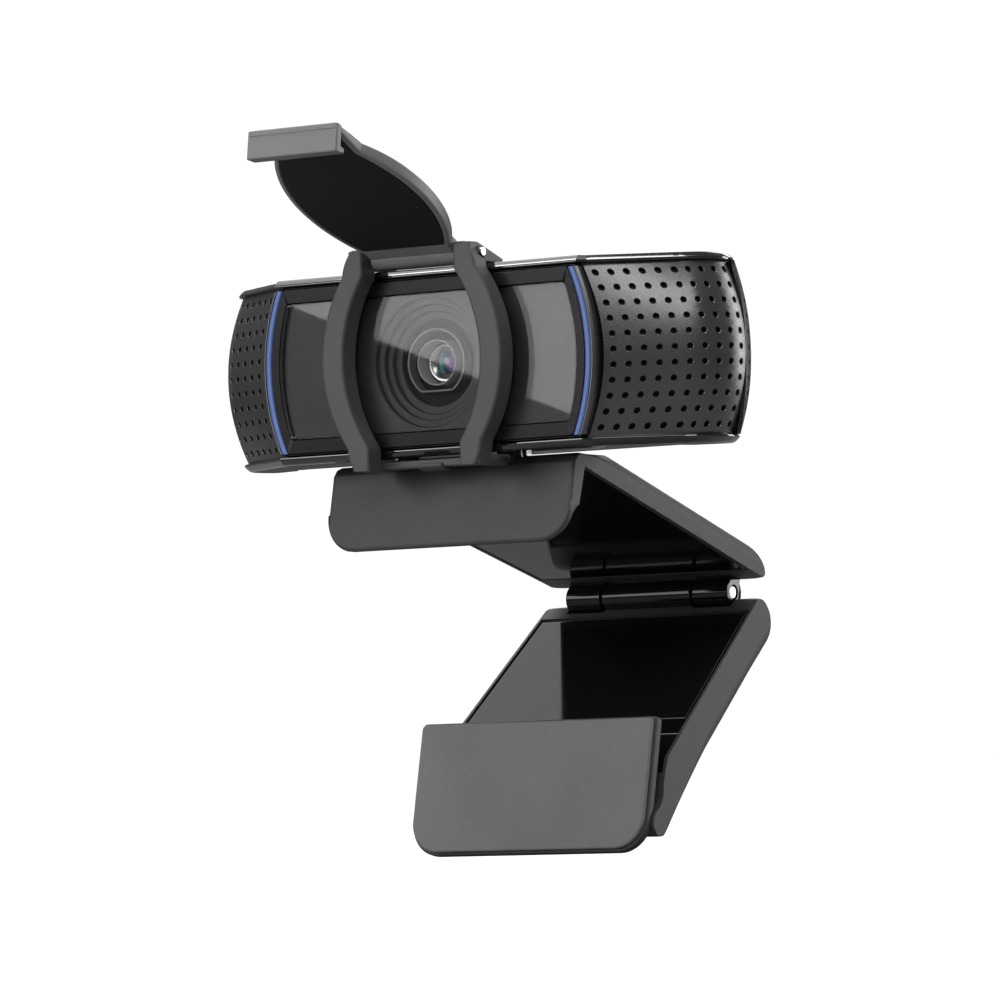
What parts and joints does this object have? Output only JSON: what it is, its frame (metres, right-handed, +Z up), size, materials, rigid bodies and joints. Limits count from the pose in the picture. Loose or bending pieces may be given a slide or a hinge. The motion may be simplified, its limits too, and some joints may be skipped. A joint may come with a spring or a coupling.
{
  "type": "webcam",
  "caption": "Webcam with a wide rounded head, flip-up privacy shutter, tilting head and a folding clip that grips the top of a screen or stands on a desk.",
  "frame": {"origin": "centre of the rear face of the rubber pad behind the clip's front lip, where the clip rests on the front of a screen", "axes": "+Z up, +X to the viewer's right seen from the front, +Y to the rear; the lens looks along -Y and its axis is 23.9 mm above the origin"},
  "size_m": [0.0938, 0.1024, 0.111],
  "materials": {
    "matte_black": "matte",
    "dark_grey_plastic": "fine grain matte",
    "grey_soft_pad": "grained matte",
    "gloss_black": "gloss",
    "satin_grille": "satin",
    "blue_light_guide": "satin",
    "clear_window": "clear",
    "mask_grey": "satin",
    "silver_trim": "polished",
    "steel": "satin",
    "brass_insert": "satin",
    "microphone": "satin",
    "sensor": "gloss",
    "circuit_board": "satin",
    "black_rubber": "matte",
    "shutter_grey": "satin"
  },
  "bodies": {
    "clip": {"upper_jaw_shell": "dark_grey_plastic", "upper_jaw_liner": "gloss_black", "lip_pad": "black_rubber", "main_hinge_pin": "steel", "tilt_axle": "steel", "friction_washer_left": "steel", "friction_washer_right": "steel"},
    "head": {"rear_shell": "matte_black", "cable_gland": "black_rubber", "top_cover": "gloss_black", "bottom_cover": "gloss_black", "grille_left": "satin_grille", "grille_right": "satin_grille", "light_strip_left": "blue_light_guide", "light_strip_right": "blue_light_guide", "microphone_left": "microphone", "microphone_right": "microphone", "front_frame": "gloss_black", "front_window": "clear_window", "inner_mask": "mask_grey", "lens_trim_ring": "silver_trim", "lens_barrel": "matte_black", "lens_front_element": "clear_window", "lens_holder": "matte_black", "image_sensor": "sensor", "sensor_board": "circuit_board", "main_board": "circuit_board", "tilt_bracket": "steel", "bracket_screw_1": "steel", "bracket_screw_2": "steel", "shutter_frame": "shutter_grey", "shutter_pin": "steel"},
    "shutter": {"shutter_lid": "shutter_grey"},
    "lower_arm": {"lower_arm_shell": "dark_grey_plastic", "lower_arm_cover": "gloss_black", "tripod_insert": "brass_insert", "foot_hinge_pin": "steel"},
    "foot": {"foot_shell": "dark_grey_plastic", "foot_pad": "grey_soft_pad"}
  },
  "joints": [
    {"name": "head_tilt", "type": "hinge", "parent": "clip", "child": "head", "pos_m": [0, 0.00075, 0.00927], "axis": [1, 0, 0], "range_deg": [-5, 10]},
    {"name": "shutter_hinge", "type": "hinge", "parent": "head", "child": "shutter", "pos_m": [0, -0.00995, 0.03997], "axis": [1, 0, 0], "range_deg": [0, 119]},
    {"name": "main_hinge", "type": "hinge", "parent": "clip", "child": "lower_arm", "pos_m": [0, 0.05485, -0.01213], "axis": [1, 0, 0], "range_deg": [-44, 45]},
    {"name": "foot_hinge", "type": "hinge", "parent": "lower_arm", "child": "foot", "pos_m": [0, 0.01885, -0.04833], "axis": [1, 0, 0], "range_deg": [-5, 25]}
  ]
}
